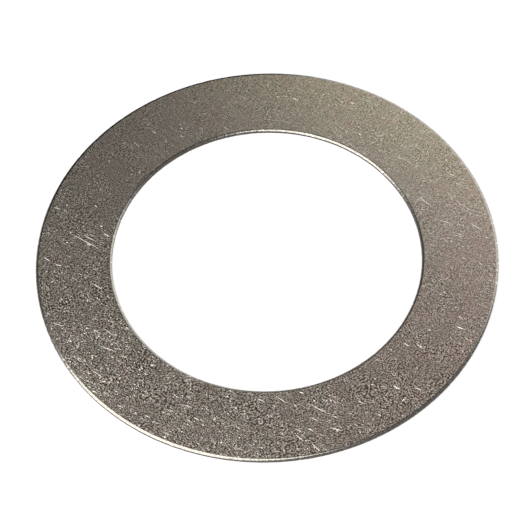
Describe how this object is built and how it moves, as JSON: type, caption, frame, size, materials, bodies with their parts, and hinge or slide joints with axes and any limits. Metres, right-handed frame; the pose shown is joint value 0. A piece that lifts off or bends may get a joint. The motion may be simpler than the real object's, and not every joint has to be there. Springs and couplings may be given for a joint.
{
  "type": "shim ring",
  "caption": "Thin flat steel ring with a large central bore and softly rolled upper edges, used to take up end play on a shaft.",
  "frame": {"origin": "on the ring's axis, in its lower face", "axes": "+Z along the ring's axis, towards the face with the rolled edges; X and Y are equal, because the ring is round"},
  "size_m": [0.06, 0.06, 0.0005],
  "materials": {
    "steel": "dull cold-rolled strip with fine scratches, bright rolled edges"
  },
  "bodies": {
    "root": {"shim_ring": "steel"}
  },
  "joints": []
}
